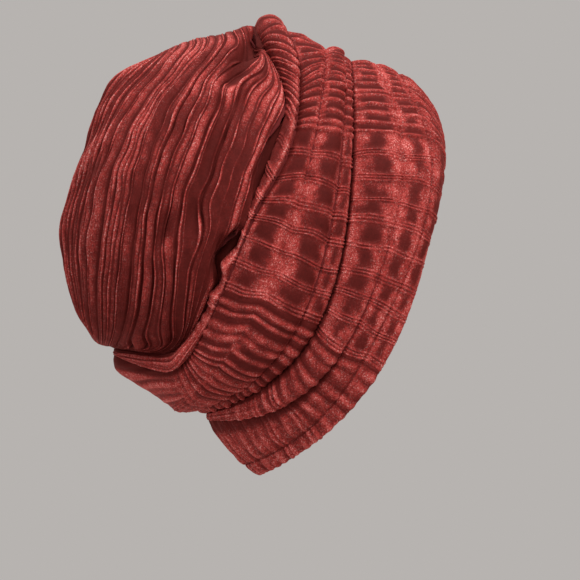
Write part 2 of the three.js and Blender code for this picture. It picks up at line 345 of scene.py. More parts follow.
def grid_faces(first, row_count, columns, turn):
    """Four-cornered faces between neighbouring rows of a grid whose rows are loops."""
    i = np.arange(columns)
    j = (i + 1) % columns
    below = first + np.arange(row_count - 1)[:, None] * columns
    corners = [below + i, below + columns + i, below + columns + j, below + j]
    if turn:
        corners = corners[::-1]
    return np.stack(corners, axis=-1).reshape(-1, 4).tolist()


def edge_faces(outer, columns, inner, inner_columns, turn):
    """A strip between a loop of many columns and a loop that has one for every few of them."""
    faces = []
    for k in range(inner_columns):
        a = k * INNER_COLUMN_STEP
        b = min(a + INNER_COLUMN_STEP, columns)
        middle = (a + b) // 2
        near = inner + k
        far = inner + (k + 1) % inner_columns
        for column in range(a, b):
            apex = near if column < middle else far
            faces.append([outer + column, outer + (column + 1) % columns, apex])
        faces.append([outer + middle % columns, far, near])
    return [face[::-1] for face in faces] if turn else faces


def closed_wall(name, outer, inner, lift, painted_light):
    """A mesh object from the outer and the inner rows, with the pleats' lift and the painted sheen and shade
    stored on it.
    """
    rows, columns = outer.shape[:2]
    inner = inner[:, ::INNER_COLUMN_STEP]
    inner_rows, inner_columns = inner.shape[:2]
    inside = rows * columns
    faces = grid_faces(0, rows, columns, False)
    outer_count = len(faces)
    faces += grid_faces(inside, inner_rows, inner_columns, True)
    faces += edge_faces(0, columns, inside, inner_columns, False)
    last = inside + (inner_rows - 1) * inner_columns
    faces += edge_faces((rows - 1) * columns, columns, last, inner_columns, True)
    points = np.concatenate([outer.reshape(-1, 3), inner.reshape(-1, 3)])
    return cloth_object(name, points, faces, outer_count, lift, painted_light)


def cloth_object(name, points, faces, outer_count, lift, painted_light):
    mesh = bpy.data.meshes.new(name)
    mesh.from_pydata(points.tolist(), [], faces)
    rest = len(points) - lift.size
    slack = np.where(lift == 0, 0.0, 1.0)
    for label, values in (("pleat_lift", lift), ("painted_light", painted_light), ("slack", slack)):
        attribute = mesh.attributes.new(label, "FLOAT", "POINT")
        padded = np.concatenate([values.ravel(), np.zeros(rest)])
        attribute.data.foreach_set("value", padded.astype(np.float32))
    back = mesh.attributes.new("wrong_side", "BOOLEAN", "FACE")
    back.data.foreach_set("value", np.arange(len(faces)) >= outer_count)
    mesh.shade_smooth()
    piece = bpy.data.objects.new(name, mesh)
    bpy.context.scene.collection.objects.link(piece)
    return piece


print(f"inner faces: one column in {INNER_COLUMN_STEP} and one row in {INNER_ROW_STEP}")

# %% [markdown]
# ## Velvet
# Velvet looks dark where it faces the camera and bright where it turns away. Here that sheen is painted
# into the colour: the crests of the rolls are painted dark, their slopes and the ridges bright, the creases
# and hollows get painted shade and some edges painted highlights. This painted light is stored on the mesh
# as a value from 0 to 1, and a ramp turns it into colour. Fine noise breaks the bright parts into a painted
# speckle, sparse specks add painted glints, and the shader's own sheen lights the edges.

# %% Velvet and its wrong side
# Colours for the painted light, from painted shade and dark crests at 0 to painted sheen at 1.
PAINTED_LIGHT_COLOURS = (
    (0.0, (0.060, 0.0060, 0.0048)),
    (0.30, (0.118, 0.0113, 0.0097)),
    (0.62, (0.285, 0.0305, 0.0262)),
    (1.0, (0.48, 0.086, 0.077)),
)
# Fine and coarse noise that breaks the painted sheen into a speckle.
FINE_SPECKLE_NOISE = (1000.0, 0.85)
COARSE_SPECKLE_NOISE = (380.0, 0.45)
NOISE_DETAIL = 1.5
MOTTLE_GAIN = 0.75
MOTTLE_FLOOR = 0.08
# Painted glints: sparse pale specks mixed into the colour where the painted sheen is brightest.
GLINT_SCALE = 1500.0
GLINT_RANGE = (("From Min", 0.60), ("From Max", 0.74), ("To Min", 0.0), ("To Max", 0.7))
GLINT_COLOUR = (0.9, 0.50, 0.46)


def node(tree, kind, **settings):
    made = tree.nodes.new(kind)
    for key, value in settings.items():
        setattr(made, key, value)
    return made


def calculate(tree, operation, *values):
    """A math node whose inputs are sockets or plain numbers."""
    made = node(tree, "ShaderNodeMath", operation=operation)
    for slot, value in zip(made.inputs, values):
        if isinstance(value, bpy.types.NodeSocket):
            tree.links.new(value, slot)
        else:
            slot.default_value = value
    return made.outputs[0]


def velvet():
    material = bpy.data.materials.new("pleated_velvet")
    material.use_nodes = True
    tree = material.node_tree
    shader = tree.nodes["Principled BSDF"]
    shader.inputs["Roughness"].default_value = 0.75
    shader.inputs["Specular IOR Level"].default_value = 0.08
    shader.inputs["Sheen Weight"].default_value = 0.15
    shader.inputs["Sheen Roughness"].default_value = 0.4
    shader.inputs["Sheen Tint"].default_value = (1.0, 0.16, 0.14, 1.0)
    place = node(tree, "ShaderNodeTexCoord").outputs["Object"]
    painted_level = node(tree, "ShaderNodeAttribute", attribute_name="painted_light").outputs["Fac"]
    grains = []
    for scale, weight in (FINE_SPECKLE_NOISE, COARSE_SPECKLE_NOISE):
        noise = node(tree, "ShaderNodeTexNoise")
        noise.inputs["Scale"].default_value = scale
        noise.inputs["Detail"].default_value = NOISE_DETAIL
        tree.links.new(place, noise.inputs["Vector"])
        grains.append(calculate(tree, "MULTIPLY_ADD", noise.outputs["Fac"], 2 * weight, -weight))
    mottle = calculate(tree, "ADD", *grains)
    share = calculate(tree, "MULTIPLY_ADD", painted_level, MOTTLE_GAIN, MOTTLE_FLOOR)
    broken = calculate(tree, "MULTIPLY_ADD", mottle, share, painted_level)
    ramp = node(tree, "ShaderNodeValToRGB")
    steps = ramp.color_ramp.elements
    while len(steps) < len(PAINTED_LIGHT_COLOURS):
        steps.new(0.5)
    for step, (position, colour) in zip(steps, PAINTED_LIGHT_COLOURS):
        step.position = position
        step.color = (*colour, 1.0)
    tree.links.new(broken, ramp.inputs["Fac"])
    # Painted glints on the brightest painted sheen.
    glint_noise = node(tree, "ShaderNodeTexNoise")
    glint_noise.inputs["Scale"].default_value = GLINT_SCALE
    glint_noise.inputs["Detail"].default_value = 0.0
    tree.links.new(place, glint_noise.inputs["Vector"])
    lit = node(tree, "ShaderNodeMapRange")
    for label, value in GLINT_RANGE:
        lit.inputs[label].default_value = value
    tree.links.new(glint_noise.outputs["Fac"], lit.inputs["Value"])
    painted_level_squared = calculate(tree, "MULTIPLY", painted_level, painted_level)
    glint = calculate(tree, "MULTIPLY", lit.outputs["Result"], painted_level_squared)
    with_glints = node(tree, "ShaderNodeMix", data_type="RGBA")
    with_glints.inputs["B"].default_value = (*GLINT_COLOUR, 1.0)
    tree.links.new(glint, with_glints.inputs["Factor"])
    tree.links.new(ramp.outputs["Color"], with_glints.inputs["A"])
    tree.links.new(with_glints.outputs["Result"], shader.inputs["Base Color"])
    return material


def wrong_side():
    material = bpy.data.materials.new("velvet_wrong_side")
    material.use_nodes = True
    shader = material.node_tree.nodes["Principled BSDF"]
    shader.inputs["Base Color"].default_value = (0.12, 0.016, 0.016, 1.0)
    shader.inputs["Roughness"].default_value = 0.9
    shader.inputs["Specular IOR Level"].default_value = 0.1
    return material


VELVET = velvet()
WRONG_SIDE = wrong_side()
print("materials:", VELVET.name, WRONG_SIDE.name)

# %% [markdown]
# ## Pleating with Geometry Nodes
# The same small tree pleats all three pieces. It moves each point out along the cloth's own direction by
# the stored lift, adds a little crumple from noise, and gives the two faces of the cloth their materials.
# The sizes are inputs of the tree, so a reader can try a deeper or a flatter pleat.

# %% The pleating tree
PLEAT_INPUTS = (
    ("Ridge Height", "NodeSocketFloat"),
    ("Crumple Height", "NodeSocketFloat"),
    ("Crumple Scale", "NodeSocketFloat"),
    ("Seed", "NodeSocketFloat"),
    ("Velvet", "NodeSocketMaterial"),
    ("Wrong Side", "NodeSocketMaterial"),
)


CRUMPLE_DETAIL = 2.0


def stored(tree, name, data_type):
    """The value that a mesh carries under this name."""
    made = node(tree, "GeometryNodeInputNamedAttribute", data_type=data_type)
    made.inputs["Name"].default_value = name
    return made.outputs["Attribute"]


def pleating_tree():
    tree = bpy.data.node_groups.new("pleat_the_cloth", "GeometryNodeTree")
    tree.interface.new_socket("Geometry", in_out="INPUT", socket_type="NodeSocketGeometry")
    tree.interface.new_socket("Geometry", in_out="OUTPUT", socket_type="NodeSocketGeometry")
    for label, kind in PLEAT_INPUTS:
        tree.interface.new_socket(label, in_out="INPUT", socket_type=kind)
    inputs = node(tree, "NodeGroupInput").outputs
    noise = node(tree, "ShaderNodeTexNoise", noise_dimensions="4D")
    noise.inputs["Detail"].default_value = CRUMPLE_DETAIL
    tree.links.new(node(tree, "GeometryNodeInputPosition").outputs[0], noise.inputs["Vector"])
    tree.links.new(inputs["Seed"], noise.inputs["W"])
    tree.links.new(inputs["Crumple Scale"], noise.inputs["Scale"])
    centred = calculate(tree, "SUBTRACT", noise.outputs["Fac"], 0.5)
    loose = calculate(tree, "MULTIPLY", centred, stored(tree, "slack", "FLOAT"))
    crumple = calculate(tree, "MULTIPLY", loose, inputs["Crumple Height"])
    lift = stored(tree, "pleat_lift", "FLOAT")
    height = calculate(tree, "MULTIPLY_ADD", lift, inputs["Ridge Height"], crumple)
    push = node(tree, "ShaderNodeVectorMath", operation="SCALE")
    tree.links.new(node(tree, "GeometryNodeInputNormal").outputs[0], push.inputs[0])
    tree.links.new(height, push.inputs["Scale"])
    move = node(tree, "GeometryNodeSetPosition")
    tree.links.new(inputs["Geometry"], move.inputs["Geometry"])
    tree.links.new(push.outputs[0], move.inputs["Offset"])
    real = node(tree, "GeometryNodeRealizeInstances")
    tree.links.new(move.outputs[0], real.inputs[0])
    right_side = node(tree, "GeometryNodeSetMaterial")
    tree.links.new(real.outputs[0], right_side.inputs["Geometry"])
    tree.links.new(inputs["Velvet"], right_side.inputs["Material"])
    inner_side = node(tree, "GeometryNodeSetMaterial")
    tree.links.new(right_side.outputs[0], inner_side.inputs["Geometry"])
    tree.links.new(stored(tree, "wrong_side", "BOOLEAN"), inner_side.inputs["Selection"])
    tree.links.new(inputs["Wrong Side"], inner_side.inputs["Material"])
    output = node(tree, "NodeGroupOutput")
    tree.links.new(inner_side.outputs[0], output.inputs[0])
    return tree


PLEATING = pleating_tree()
print(f"pleating tree: {len(PLEATING.nodes)} nodes")


def pleat(piece, **sizes):
    """Runs the tree on a piece with these sizes and keeps the result as a plain mesh."""
    modifier = piece.modifiers.new("pleats", "NODES")
    modifier.node_group = PLEATING
    values = {**sizes, "Velvet": VELVET, "Wrong Side": WRONG_SIDE}
    for item in PLEATING.interface.items_tree:
        if item.item_type == "SOCKET" and item.in_out == "INPUT" and item.name in values:
            modifier[item.identifier] = values[item.name]
    evaluated = piece.evaluated_get(bpy.context.evaluated_depsgraph_get())
    done = bpy.data.meshes.new_from_object(evaluated)
    piece.modifiers.remove(modifier)
    plain = piece.data
    piece.data = done
    bpy.data.meshes.remove(plain)
    done.name = piece.name
    triangles = sum(len(face.vertices) - 2 for face in done.polygons)
    print(f"{piece.name}: {triangles} triangles")
    return piece


# %% [markdown]
# ## Front band
# The front band is the snug part round the face. Its edge is turned in and pressed, so it is thicker and
# rounded there, and at the back it ends in a seam, where an allowance is folded inwards. Its pleats are
# placed round the groove in its middle.

# %% Rows of a band
WALL = 1.6 * MM
HEM_WALL = 2.6 * MM
SEAM_GAP = 0.06 * MM
SEAM_DEPTHS = (0.0, 1.2 * MM, 3.0 * MM, 5.0 * MM)
ALLOWANCE_ROWS = len(SEAM_DEPTHS) - 1
WANDER = 0.9 * MM
WANDER_SIZE = 26 * MM
FRONT_SEAM = ("front_seam", "front_groove", "low_crease")
CROWN_SEAM = ("crown_seam", "lip_crease", "crown_mouth")


def smooth_step(low, high, values):
    share = np.clip((values - low) / (high - low), 0, 1)
    return share * share * (3 - 2 * share)


def seam_rows(seam, side, angle):
    """Rows at a seam from its line down to the allowance's edge. side is -1 before the seam, 1 behind it."""
    line, before, after = seam
    across = loop_point(after, angle) - loop_point(before, angle)
    tangent = loop_tangent(line, angle)
    normal = unit(np.cross(across, tangent))
    along = unit(np.cross(tangent, normal))
    edge = loop_point(line, angle) + along * side * SEAM_GAP / 2
    return np.stack([edge - normal * depth for depth in SEAM_DEPTHS])


def band_rows(rolls, chains, columns, seed):
    """Rows of points over all the rolls of a band, with each row's roll and its share of the way over."""
    radius = columns["length"] / (2 * np.pi)
    rows, spots = [], []
    for index, roll in enumerate(rolls):
        for step in range(0 if index == 0 else 1, roll["steps"] + 1):
            share = step / roll["steps"]
            straight = roll_row(rolls, chains, index, share, columns["angle"])
            wander = ripple(straight, WANDER_SIZE, seed) * WANDER / radius
            rows.append(roll_row(rolls, chains, index, share, columns["angle"] + wander))
            spots.append((index, share))
    return np.stack(rows), spots


columns = pleat_columns("front_groove", style_ends=(44, 108), seed=11)
rows, spots = band_rows(FRONT_ROLLS, FRONT_CHAINS, columns, seed=21)
print(f"front band: {rows.shape[0]} rows of {rows.shape[1]} columns")

# %% [markdown]
# ## Painted sheen and shade on a band
# Each panel is painted with a dark patch on the roll's crest and painted bright on the slopes towards the
# creases, as painted velvet sheen. Each ridge gets a painted highlight along its edge, and each crease gets
# painted shade. The patches could be painted by hand, but a rule with a little chance in it gives every
# panel a patch of its own.

# %% Creases and twists
CREASE_REACH = 0.16
CREASE_CORE = 0.6
# Painted shade: how dark each fold line's crease is painted, from the brow to the nape.
CREASE_SHADE = {
    "rim_edge": (0.0, 0.0),
    "hem_groove": (0.2, 0.4, 0.6),
    "front_groove": (0.0, 0.0, 0.1, 0.9, 1.0),
    "front_seam": (1.0, 1.0, 1.0),
    "low_crease": (0.6, 0.6, 0.8, 1.0, 1.0),
    "rear_groove": (0.0, 0.0),
    "lip_crease": (1.0, 1.0, 1.0),
    "crown_seam": (0.5, 0.5, 0.7, 1.0, 1.0),
}
NOT_TWISTED = (180, 181)
STREAKS = ((4.5, 0.3), (8.0, 0.5))
STREAK_WEIGHT = 0.6
STREAK_SHARPNESS = 0.7
STREAK_BEND_SIZE = 45 * MM
STREAK_END = (173, 179)
STREAK_FADE = 0.8


def crease_shade(rolls, spots, angle):
    """How much painted shade darkens the creases at a roll's two edges, for each row."""
    rows = []
    for index, share in spots:
        roll = rolls[index]
        reach = along_loop(roll.get("shadow", (CREASE_REACH, CREASE_REACH)), angle)
        near = along_loop(roll.get("first_shade", CREASE_SHADE[roll["from"]]), angle)
        near = near * (1 - smooth_step(0, CREASE_REACH, share))
        far = along_loop(CREASE_SHADE[roll["to"]], angle)
        far = far * (1 - smooth_step(CREASE_CORE * reach, reach, 1 - share))
        rows.append(np.clip(near + far, 0, 1))
    return np.stack(rows)


def roll_twist(roll, angle):
    """How far a roll is twisted near the nape, so that its pleats turn and run along it, from 0 to 1."""
    begin, end = roll.get("twisted", NOT_TWISTED)
    return roll.get("twist", 1.0) * smooth_step(begin, end, turn_from_brow(angle))


def twisted_streaks(rows, share, angle, seed):
    """Pleats that run along a twisted roll, from about -1 in a groove to 1 on a ridge."""
    bend = ripple(rows, STREAK_BEND_SIZE, seed)
    waves = [np.sin(2 * np.pi * (count * share + sway * bend)) for count, sway in STREAKS]
    streak = STREAK_WEIGHT * sum(waves)
    streak = np.sign(streak) * abs(streak) ** STREAK_SHARPNESS
    return streak * (1 - STREAK_FADE * smooth_step(*STREAK_END, turn_from_brow(angle)))


print(f"crease shades on {len(CREASE_SHADE)} lines")

# %% Painted sheen, shade and lift of a band
PANEL_FULL = 0.7
PATCH_SIZES = (12 * MM, 5 * MM)
PATCH_AMOUNTS = (0.16, 0.05)
PANEL_TONE = 0.2
SWELL = 0.4
SWELL_SIZE = 10 * MM
SWELL_RANGE = (0.25, 1.6)
BRIGHT = 0.64
BRIGHT_CHANGE = 0.13
BRIGHT_SIZE = 9 * MM
HALO = 0.7
CREST_DARK = 0.55
PANEL_DARK = 0.35
RIDGE_BED = 0.86
RIDGE_LIGHT = 0.24
EDGE_LIGHT_AT = 0.24
EDGE_LIGHT_WIDTH = 0.14
CREASE_DARK = 0.75
LEAST_ROOM = 0.2
PUFF = 0.35
SINK = 0.6
STREAK_LIFT = (0.7, 0.1)
STREAK_LIGHT = (0.28, 0.56)
STREAK_CREASE = 0.9


def by_row(rolls, spots, key, angle):
    """A roll's values round the hat for each row of points, and 0 where the roll has none."""
    return np.stack([along_loop(rolls[index].get(key, (0, 0)), angle) for index, _ in spots])


def painted_light_and_lift(rolls, rows, spots, columns, dark, seed):
    """The painted sheen, highlights and shade, and how far the pleats stand out, for rows of a band."""
    labels = ("ridge", "ridge_highlight", "puff", "draw", "low", "high")
    ridge, ridge_highlight, puff, draw, low, high = (columns[label][None, :] for label in labels)
    angle = columns["angle"]
    share = np.array([share for _, share in spots])[:, None]
    panel = smooth_step(0.0, PANEL_FULL, puff)
    slope = abs(np.cos(np.pi * share)) + by_row(rolls, spots, "narrow", angle)
    patch = ripple(rows, PATCH_SIZES[0], seed) * PATCH_AMOUNTS[0]
    patch = patch + ripple(rows, PATCH_SIZES[1], seed + 3) * PATCH_AMOUNTS[1]
    # Painted sheen: a dark patch on each panel's crest, bright slopes and a painted bright halo round the
    # patch.
    crest = 1 - smooth_step(low, high, slope + patch + (draw - 0.5) * PANEL_TONE)
    swell = np.clip(1 + SWELL * ripple(rows, SWELL_SIZE, seed + 1), *SWELL_RANGE)
    bright = BRIGHT + BRIGHT_CHANGE * ripple(rows, BRIGHT_SIZE, seed + 2)
    halo = HALO * crest * (1 - crest) * panel
    depth = np.stack([along_loop(dark[index], angle) for index, _ in spots])
    painted_light = (bright + halo) * (1 - depth * crest * (CREST_DARK + PANEL_DARK * (panel - ridge_highlight)))
    # A painted highlight along each ridge, with painted shade between the ridges.
    painted_light = painted_light * (RIDGE_BED + (1 - RIDGE_BED) * panel) + RIDGE_LIGHT * ridge_highlight * swell
    # A painted highlight along a rolled edge.
    lit_edge = np.exp(-((share - EDGE_LIGHT_AT) / EDGE_LIGHT_WIDTH) ** 2)
    painted_light = painted_light + by_row(rolls, spots, "edge_light", angle) * lit_edge
    # Painted shade in the creases and on the panels of some rolls.
    shade = crease_shade(rolls, spots, angle)
    painted_light = painted_light * (1 - by_row(rolls, spots, "panel_shade", angle) * panel)
    painted_light = np.clip(painted_light * (1 - CREASE_DARK * shade), 0, 1)
    spacing = np.linalg.norm(np.roll(rows, -1, axis=1) - rows, axis=-1)
    room = np.clip(spacing / np.median(spacing, axis=0), LEAST_ROOM, 1)
    lift = (ridge * swell + puff * PUFF) * room - SINK
    twist = np.stack([roll_twist(rolls[index], angle) for index, _ in spots])
    streak = twisted_streaks(rows, share, angle, seed + 5)
    lift = lift + (STREAK_LIFT[0] * streak + STREAK_LIFT[1] - lift) * twist
    # Painted sheen along the streaks of a twisted roll, with painted shade near its creases.
    painted_streaks = (STREAK_LIGHT[0] * streak + STREAK_LIGHT[1]) * (1 - STREAK_CREASE * shade)
    return painted_light + (painted_streaks - painted_light) * twist, lift * MM


# How dark the painted patch on each roll's crest is, from the brow to the nape.
FRONT_DARK = ((0.8, 0.8, 0.8, 0.5, 0.3), (0.8, 0.8, 0.9, 0.55, 0.3), (1.0, 1.0, 1.0, 0.6, 0.3))
painted_light, lift = painted_light_and_lift(FRONT_ROLLS, rows, spots, columns, FRONT_DARK, seed=31)
print(f"front band: nap {painted_light.min():.2f} to {painted_light.max():.2f}, pleats up to {lift.max() / MM:.1f} mm high")

# %% [markdown]
# ## The front band's wall
# The rim is a turned hem, thicker than the rest, so a half circle of rows is added past the rim line. A
# Bevel could round it, but these rows carry the pleats on round the edge. At the seam the wall runs inwards,
# as a folded allowance does.

# %% The front band's wall
HEM_CAP_STEPS = 5
HEM_REACH = 3
HEM_LIFT = 0.5

radius = HEM_WALL / 2
toward_rim = unit(rows[0] - rows[HEM_REACH])
hem_normal = unit(np.cross(-toward_rim, np.roll(rows[0], -1, axis=0) - np.roll(rows[0], 1, axis=0)))
caps = []
for step in range(1, HEM_CAP_STEPS + 1):
    turn = np.pi * (1 - step / (HEM_CAP_STEPS + 1))
    rounded = hem_normal * np.cos(turn) + toward_rim * np.sin(turn)
    caps.append(rows[0] - hem_normal * radius + radius * rounded)
seam = seam_rows(FRONT_SEAM, -1, angles_on(FRONT_CHAINS, "front_seam", columns["angle"]))
outer = np.concatenate([np.stack(caps), rows[:-1], seam])
normals = grid_normals(outer)
thickness = np.full(len(outer), WALL)
thickness[:HEM_CAP_STEPS + FRONT_ROLLS[0]["steps"]] = HEM_WALL
body = np.arange(HEM_CAP_STEPS, len(outer), INNER_ROW_STEP)
body[-1] = len(outer) - 1
inner = outer[body] - normals[body] * thickness[body, None, None]


def spread(values, before, after, fade):
    """Values with rows added for the edges: the first row again, scaled by fade, and zeros at the end."""
    return np.concatenate([np.repeat(values[:1], before, axis=0) * fade, values,
                           np.zeros((after, values.shape[1]))])


lift = spread(lift, HEM_CAP_STEPS, ALLOWANCE_ROWS, fade=HEM_LIFT)
painted_light = spread(painted_light, HEM_CAP_STEPS, ALLOWANCE_ROWS, fade=1)
front_band = closed_wall("front_band_velvet", outer, inner, lift, painted_light)
pleat(front_band, **{"Ridge Height": 1.0, "Crumple Height": 0.0007, "Crumple Scale": 160.0, "Seed": 1.0})

# %% [markdown]
# ## Rear band
# The rear band is wider than the way it has to cover, so it lies in rolls. The last roll is the lip that
# the crown is sewn into. The same rows and pleats are used, between a seam at each edge.

# %% Rear band
# How dark the painted patch on each roll's crest is, from the brow to the nape.
REAR_DARK = ((0.9, 0.9), (1.0, 1.0, 0.9), (1.0, 1.0, 1.0, 0.72, 0.5), (0.6, 0.5, 0.1, 0.1, 0.1))

columns = pleat_columns("rear_groove", style_ends=(53, 106), seed=12)
rows, spots = band_rows(REAR_ROLLS, REAR_CHAINS, columns, seed=22)
painted_light, lift = painted_light_and_lift(REAR_ROLLS, rows, spots, columns, REAR_DARK, seed=32)
first_seam = seam_rows(FRONT_SEAM, 1, angles_on(REAR_CHAINS, "front_seam", columns["angle"]))[::-1]
last_seam = seam_rows(CROWN_SEAM, -1, angles_on(REAR_CHAINS, "crown_seam", columns["angle"]))
outer = np.concatenate([first_seam, rows[1:-1], last_seam])
normals = grid_normals(outer)
body = np.arange(0, len(outer), INNER_ROW_STEP)
body[-1] = len(outer) - 1
inner = outer[body] - normals[body] * WALL
lift = spread(lift, ALLOWANCE_ROWS, ALLOWANCE_ROWS, fade=0)
painted_light = spread(painted_light, ALLOWANCE_ROWS, ALLOWANCE_ROWS, fade=0)
rear_band = closed_wall("rear_band_velvet", outer, inner, lift, painted_light)
pleat(rear_band, **{"Ridge Height": 1.1, "Crumple Height": 0.0008, "Crumple Scale": 160.0, "Seed": 2.0})

# %% [markdown]
# ## Crown
# The crown is a slack bag whose pleats run the other way, in hoops from the top to the nape. Its surface
# passes through six fold lines, and its rows are placed where a hoop has a crest, a shoulder or a groove.
# The pattern of hoops is a plain list of words: a thin ridge, a faint line, a round or a wide fold, a flat
# panel, a deep one painted dark or a groove.

# %% Crown surface
CROWN_LINES = ("crown_seam", "crown_mouth", "crown_front", "crown_middle", "crown_back", "back_seam")
CROWN_COLUMNS = 328
CROWN_PATTERN = (
    "groove deep line deep ridge wide ridge deep line deep ridge fold groove ridge deep line ridge groove "
    "wide ridge panel ridge groove wide groove ridge panel line groove wide ridge groove panel ridge fold "
    "groove ridge panel groove wide ridge groove fold ridge panel groove ridge fold groove ridge panel "
    "ridge groove fold groove ridge"
).split()
HOOPS = {
    "ridge": {"width": 2.2, "height": 1.7, "profile": ((0.0, 0.0), (0.25, 0.5), (0.5, 1.0), (0.75, 0.5))},
    "line": {"width": 1.8, "height": 0.7, "profile": ((0.0, 0.0), (0.3, 0.3), (0.5, 0.55), (0.7, 0.3))},
    "fold": {"width": 4.0, "height": 1.9,
             "profile": ((0.0, 0.1), (0.15, 0.45), (0.4, 0.8), (0.65, 1.0), (0.82, 0.85), (0.94, 0.4))},
    "wide": {"width": 6.8, "height": 2.2,
             "profile": ((0.0, 0.1), (0.1, 0.5), (0.2, 0.42), (0.32, 0.8), (0.42, 0.66), (0.55, 1.0),
                         (0.65, 0.84), (0.76, 1.0), (0.88, 0.7), (0.96, 0.35))},
    "deep": {"width": 5.2, "height": -0.3,
             "profile": ((0.0, 0.0), (0.15, 0.7), (0.4, 1.0), (0.6, 1.0), (0.85, 0.7))},
    "panel": {"width": 4.4, "height": 0.4,
              "profile": ((0.0, 0.0), (0.15, 0.5), (0.35, 0.9), (0.65, 0.9), (0.85, 0.5))},
    "groove": {"width": 1.5, "height": -1.0, "profile": ((0.0, 0.1), (0.33, 0.9), (0.67, 0.9))},
}
# Each dent pushes the cloth in by its depth; its shade paints shade into the hollow, and a negative shade
# paints a highlight.
CROWN_DENTS = [
    {"name": "gather hole", "place": (-56, 152), "size": (8.5, 6), "turn": 60, "depth": 7, "shade": 1.0,
     "edge": 2, "side": 3},
    {"name": "pleat hollow", "place": (-64, 137.5), "size": (15, 6), "turn": 56, "depth": 5.5, "shade": 0.97,
     "edge": 2, "side": 12},
    {"name": "buckle", "place": (-70.5, 124), "size": (14, 4.5), "turn": 27, "depth": -4, "shade": -0.7},
    {"name": "pocket beside the lip", "place": (-46, 87), "size": (19, 5), "turn": 72, "depth": 7,
     "shade": 0.9},
    {"name": "side panel", "place": (-76.5, 91), "size": (27, 6), "turn": 76, "depth": 3, "shade": 0.65,
     "edge": 2},
    {"name": "rear panel", "place": (-105, 48), "size": (13, 5.5), "turn": 72, "depth": 2.5, "shade": 0.7,
     "edge": 2},
    {"name": "kink hollow", "place": (-88, 56), "size": (10, 5), "turn": 70, "depth": 3, "shade": 0.5},
    {"name": "kink", "place": (-89, 41), "size": (13, 4), "turn": 57, "depth": -2.5, "shade": -0.7},
    {"name": "kink behind", "place": (-105, 36), "size": (8, 3), "turn": 60, "depth": -1.5, "shade": -0.6},
    {"name": "tuck beside the lip", "place": (-69, 35), "size": (12, 7), "turn": 60, "depth": 9,
     "shade": 0.95, "edge": 2},
    {"name": "tuck below the bud", "place": (-74.5, 25), "size": (7, 5), "turn": 60, "depth": 5,
     "shade": 0.9, "edge": 2},
]
NEAR_SIDE = 20
SIDE_STEPS = 400


def near_side_total(points, table, column):
    """The sum of one column over a table of soft-edged places on the near side, at points of the crown."""
    total = np.zeros(points.shape[:-1])
    for row in table:
        turn = np.radians(row["turn"])
        x = points[..., 0] / MM - row["place"][0]
        z = points[..., 2] / MM - row["place"][1]
        along = (x * np.cos(turn) + z * np.sin(turn)) / row["size"][0]
        across = (z * np.cos(turn) - x * np.sin(turn)) / row["size"][1]
        there = np.exp(-(along ** 2 + across ** 2) ** row.get("edge", 1))
        total += row[column] * there * smooth_step(0, row.get("side", NEAR_SIDE), -points[..., 1] / MM)
    return total


def through_lines(points, share):
    """A smooth curve through points, one set for each column, at shares from 0 to 1."""
    last = len(points) - 1
    place = np.clip(share * last, 0, last - 1e-9)
    index = np.floor(place).astype(int)
    local = place - index
    ends = np.concatenate([2 * points[:1] - points[1:2], points, 2 * points[-1:] - points[-2:-1]])
    column = np.arange(points.shape[1])[None, :]
    p0, p1, p2, p3 = (ends[index + k, column] for k in range(4))
    gaps = [np.linalg.norm(b - a, axis=-1) for a, b in ((p0, p1), (p1, p2), (p2, p3))]
    d0, d1, d2 = (np.sqrt(np.maximum(gap, 1e-9))[..., None] for gap in gaps)
    start = ((p1 - p0) / d0 - (p2 - p0) / (d0 + d1) + (p2 - p1) / d1) * d1
    end = ((p2 - p1) / d1 - (p3 - p1) / (d1 + d2) + (p3 - p2) / d2) * d1
    t = local[..., None]
    return (p1 + start * t + (3 * (p2 - p1) - 2 * start - end) * t ** 2
            + (2 * (p1 - p2) + start + end) * t ** 3)


angle = np.arange(CROWN_COLUMNS) * 2 * np.pi / CROWN_COLUMNS
crown_lines = np.stack([loop_point(name, angle) for name in CROWN_LINES])
side = np.argmin(abs(angle - np.pi / 2))
side_share = np.linspace(0, 1, SIDE_STEPS)
side_line = through_lines(crown_lines[:, side:side + 1], side_share[:, None])[:, 0]
side_way = np.linalg.norm(np.diff(side_line, axis=0), axis=1)
seen_way = np.linalg.norm(np.diff(side_line[:, [0, 2]], axis=0), axis=1)
way = np.concatenate([[0], np.cumsum((side_way + seen_way) / 2)])
print(f"crown over the ear: {side_way.sum() * 1000:.0f} mm of cloth, {seen_way.sum() * 1000:.0f} mm seen")

# %% [markdown]
# ## Hoops of the crown
# Each word of the pattern becomes a few rows, placed along the way over the ear. On the real hat the hoops
# do not all reach the top and the nape: those near the lip run into its seam. So each row's place is drawn
# in towards the seam there, and two sways bend the rows at the kink. Rows cut by a Boolean would end too
# hard.

# %% Hoops of the crown
HOOP_WIDTH_SPREAD = (0.85, 1.2)
HOOP_HEIGHT_SPREAD = (0.75, 1.15)
chance = np.random.default_rng(43)
hoop_place, hoop_rise, hoop_crest, hoop_panel, hoop_deep = [], [], [], [], []
start = 0.0
for word in CROWN_PATTERN:
    hoop = HOOPS[word]
    width = hoop["width"] * chance.uniform(*HOOP_WIDTH_SPREAD)
    height = hoop["height"] * chance.uniform(*HOOP_HEIGHT_SPREAD)
    tone = chance.uniform()
    for share, rise in hoop["profile"]:
        hoop_place.append(start + width * share)
        hoop_rise.append(height * rise)
        hoop_crest.append(rise if word in ("ridge", "line") else 0.0)
        hoop_panel.append((rise if word in ("fold", "wide", "panel") else 0.0, tone))
        hoop_deep.append(rise if word == "deep" else 0.0)
    start += width
hoop_share = np.interp(np.array(hoop_place) / start * way[-1], way, side_share)
hoop_share = np.append(hoop_share[1:], 1.0)
hoop_rise = np.append(hoop_rise[1:], 0.0)
hoop_crest = np.append(hoop_crest[1:], 0.0)
